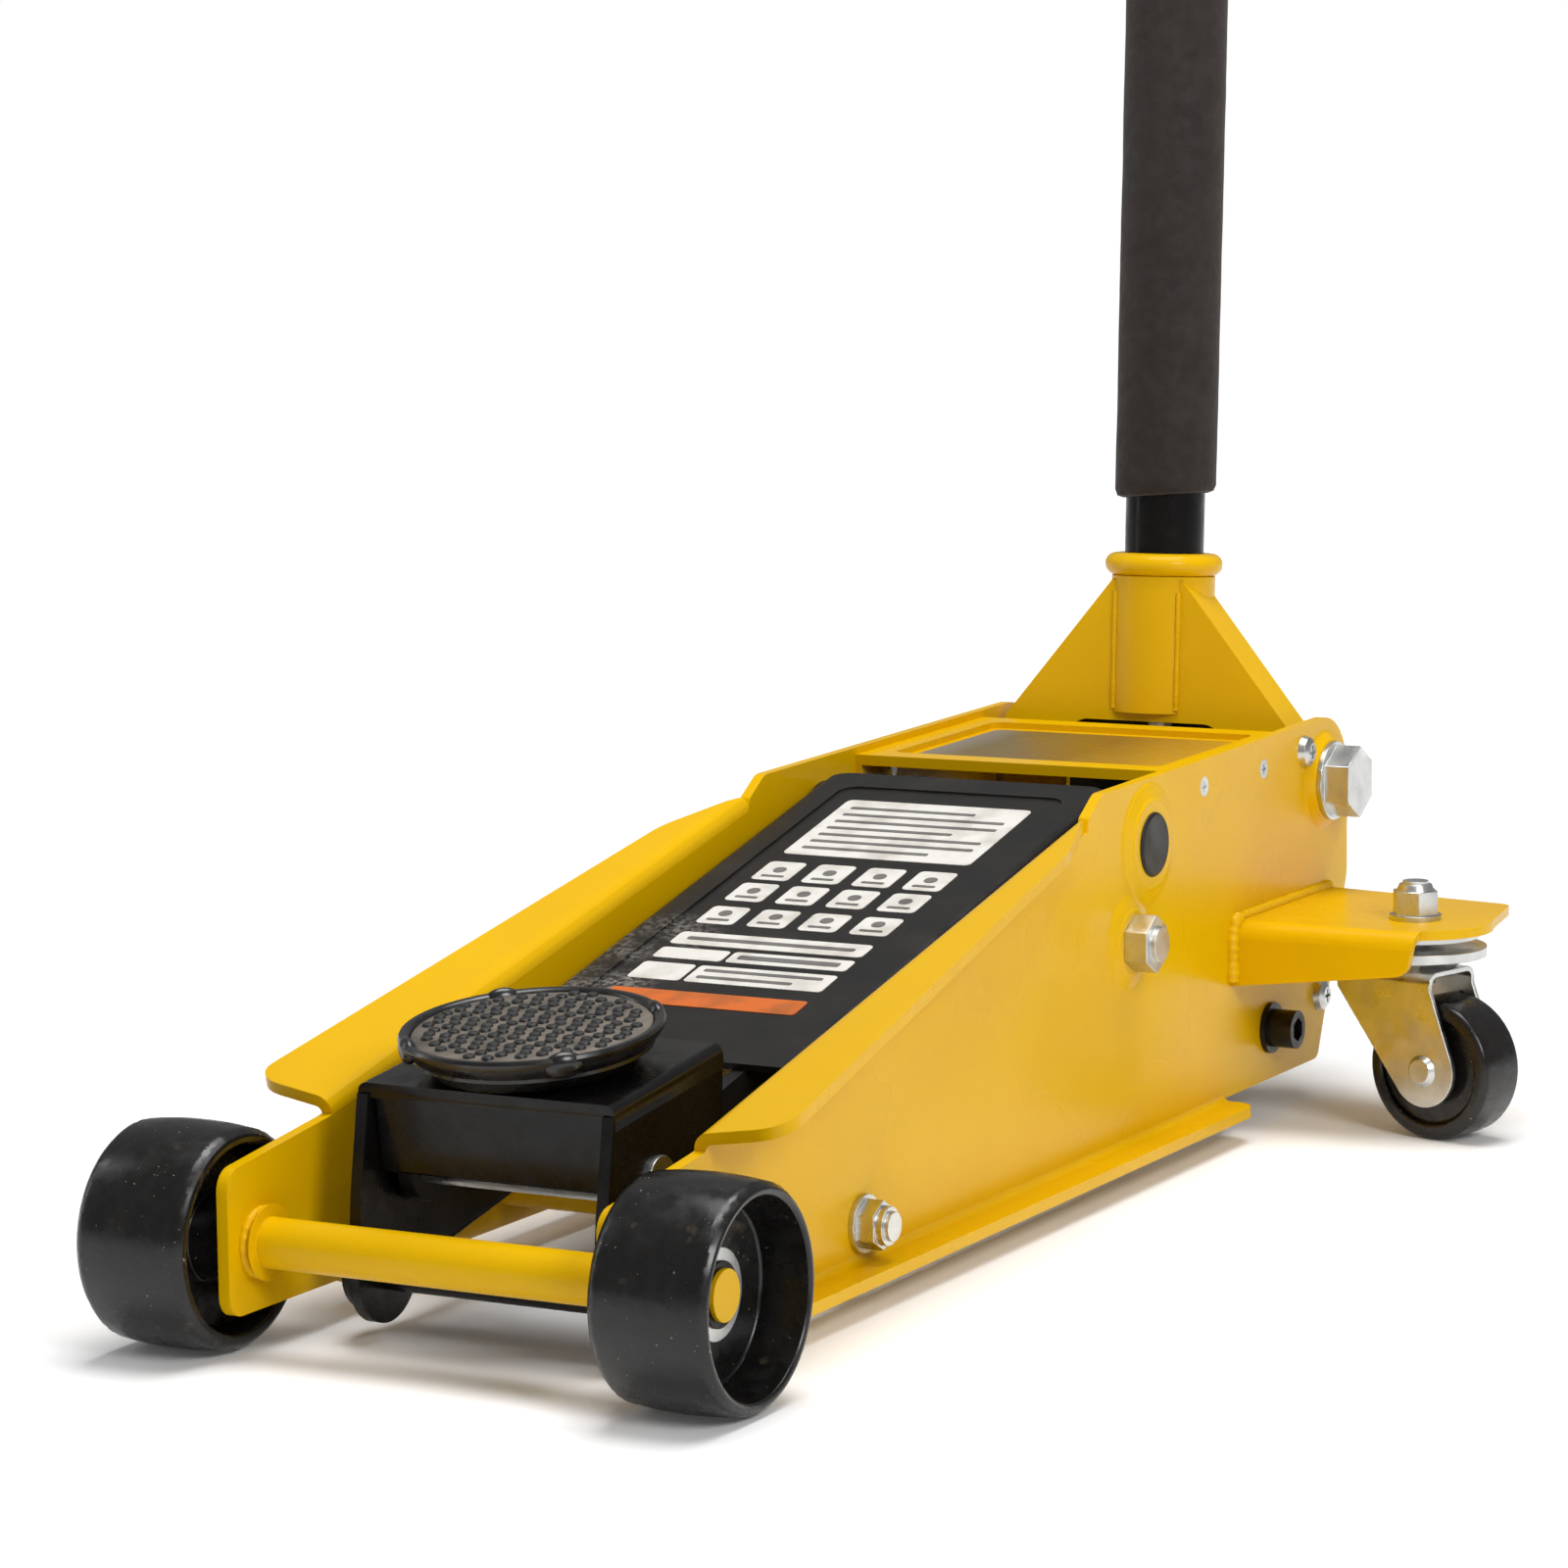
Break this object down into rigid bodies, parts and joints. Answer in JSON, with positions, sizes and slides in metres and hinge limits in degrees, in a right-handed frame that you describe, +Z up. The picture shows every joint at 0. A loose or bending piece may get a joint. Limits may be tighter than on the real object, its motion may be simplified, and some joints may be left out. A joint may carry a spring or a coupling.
{
  "type": "hydraulic trolley jack",
  "caption": "Wheeled hydraulic floor jack with a steel chassis, pivoting lift arm, level-keeping saddle, swivel casters and a pump handle with a foam sleeve.",
  "frame": {"origin": "on the floor, under the middle of the overall box", "axes": "+Z up, +X the width, +Y from the front wheels to the handle"},
  "size_m": [0.424, 0.7816, 1.1071],
  "materials": {
    "yellow_paint": "gloss",
    "black_paint": "semi-gloss powder coat",
    "zinc_plate": "zinc plated",
    "dark_steel": "black oxide",
    "cast_iron": "painted casting",
    "chrome": "polished",
    "black_plastic": "semi-gloss moulded",
    "rubber": "matte",
    "foam": "matte closed-cell foam"
  },
  "bodies": {
    "chassis": {"side_plate_right": "yellow_paint", "side_plate_left": "yellow_paint", "front_axle": "yellow_paint", "axle_washers": "zinc_plate", "axle_rings": "dark_steel", "front_tie_bolt": "zinc_plate", "front_tie_tube": "yellow_paint", "top_cover": "yellow_paint", "cover_screws": "zinc_plate", "stop_bar": "zinc_plate", "rear_tie_tube": "yellow_paint", "rear_screws": "zinc_plate", "caster_bracket_right": "yellow_paint", "caster_bracket_left": "yellow_paint", "caster_kingpins": "zinc_plate", "arm_pivot_shaft": "black_paint", "link_bolts": "zinc_plate", "pump_block": "cast_iron", "block_screws": "dark_steel", "cylinder_barrel": "cast_iron", "cylinder_end_nut": "zinc_plate", "reservoir_shell": "black_paint", "filler_plug": "rubber", "pump_sleeves": "zinc_plate", "handle_pivot_bolts": "zinc_plate"},
    "lift_arm": {"arm_side_plates": "black_paint", "arm_cover": "black_paint", "arm_pivot_tube": "black_paint", "arm_cross_tube": "black_paint", "ram_pin": "zinc_plate", "saddle_pivot_pin": "zinc_plate"},
    "saddle_yoke": {"saddle_bracket": "black_paint", "bracket_front_plate": "black_paint", "link_pin": "black_paint"},
    "saddle": {"saddle_cup": "cast_iron", "saddle_pad": "rubber"},
    "leveling_rods": {"leveling_rod_right": "black_paint", "leveling_rod_left": "black_paint"},
    "ram": {"ram_rod": "chrome", "ram_head": "cast_iron"},
    "front_wheel_r": {"front_wheel_right": "black_plastic"},
    "front_wheel_l": {"front_wheel_left": "black_plastic"},
    "caster_fork_r": {"caster_fork_right": "zinc_plate", "caster_rivet_right": "zinc_plate"},
    "caster_fork_l": {"caster_fork_left": "zinc_plate", "caster_rivet_left": "zinc_plate"},
    "caster_wheel_r": {"caster_wheel_right": "black_plastic"},
    "caster_wheel_l": {"caster_wheel_left": "black_plastic"},
    "handle_yoke": {"yoke_frame": "yellow_paint", "yoke_back_plate": "black_paint", "yoke_tube": "yellow_paint", "yoke_ring": "yellow_paint", "pump_rollers": "zinc_plate"},
    "handle": {"handle_lower_tube": "black_paint", "handle_upper_tube": "chrome", "foam_sleeve": "foam", "handle_grip": "rubber", "release_fork": "zinc_plate"},
    "release": {"release_rod": "zinc_plate"},
    "plungers": {"pump_plungers": "chrome"}
  },
  "joints": [
    {"name": "lift", "type": "hinge", "parent": "chassis", "child": "lift_arm", "pos_m": [0, 0.10672, 0.1484], "axis": [-1, 0, 0], "range_deg": [0, 56]},
    {"name": "saddle_level", "type": "hinge", "parent": "lift_arm", "child": "saddle_yoke", "pos_m": [0, -0.28078, 0.0682], "axis": [-1, 0, 0], "range_deg": [-57, 1]},
    {"name": "leveling", "type": "hinge", "parent": "chassis", "child": "leveling_rods", "pos_m": [0, 0.08622, 0.1072], "axis": [-1, 0, 0], "range_deg": [-1, 57]},
    {"name": "ram_travel", "type": "slide", "parent": "chassis", "child": "ram", "axis": [0, -1, 0], "range_m": [-0.001, 0.0545]},
    {"name": "saddle_swivel", "type": "hinge", "parent": "saddle_yoke", "child": "saddle", "pos_m": [0, -0.27508, 0.1074], "axis": [0, -0.1184, 0.993], "continuous": true},
    {"name": "front_wheel_spin_r", "type": "hinge", "parent": "chassis", "child": "front_wheel_r", "pos_m": [0.1135, -0.34628, 0.0445], "axis": [1, 0, 0], "continuous": true},
    {"name": "front_wheel_spin_l", "type": "hinge", "parent": "chassis", "child": "front_wheel_l", "pos_m": [-0.1135, -0.34628, 0.0445], "axis": [1, 0, 0], "continuous": true},
    {"name": "caster_swivel_r", "type": "hinge", "parent": "chassis", "child": "caster_fork_r", "pos_m": [0.161, 0.24172, 0.08], "axis": [0, 0, 1], "continuous": true},
    {"name": "caster_swivel_l", "type": "hinge", "parent": "chassis", "child": "caster_fork_l", "pos_m": [-0.161, 0.24172, 0.08], "axis": [0, 0, 1], "continuous": true},
    {"name": "caster_spin_r", "type": "hinge", "parent": "caster_fork_r", "child": "caster_wheel_r", "pos_m": [0.17746, 0.23746, 0.033], "axis": [0.2504, 0.9681, 0], "continuous": true},
    {"name": "caster_spin_l", "type": "hinge", "parent": "caster_fork_l", "child": "caster_wheel_l", "pos_m": [-0.17746, 0.23746, 0.033], "axis": [-0.2504, 0.9681, 0], "continuous": true},
    {"name": "pump", "type": "hinge", "parent": "chassis", "child": "handle_yoke", "pos_m": [0, 0.31152, 0.1526], "axis": [-1, 0, 0], "range_deg": [0, 60], "stiffness_Nm_per_rad": 8, "springref_deg": -34.38},
    {"name": "plunger_travel", "type": "slide", "parent": "chassis", "child": "plungers", "axis": [0, -1, 0], "range_m": [-0.001, 0.028]},
    {"name": "handle_twist", "type": "hinge", "parent": "handle_yoke", "child": "handle", "pos_m": [0, 0.31152, 0.1526], "axis": [0, 0.061, 0.9981], "range_deg": [0, 90]},
    {"name": "release_turn", "type": "hinge", "parent": "chassis", "child": "release", "pos_m": [0, 0.31152, 0.1526], "axis": [0, -0.6947, -0.7193], "range_deg": [-91, 1]}
  ],
  "couplings": [
    {"joint": "saddle_level", "follows": "lift", "ratio": -1},
    {"joint": "leveling", "follows": "lift", "ratio": 1},
    {"joint": "ram_travel", "follows": "lift", "m_per_rad": 0.0535},
    {"joint": "plunger_travel", "follows": "pump", "m_per_rad": 0.0253},
    {"joint": "release_turn", "follows": "handle_twist", "ratio": -1}
  ]
}
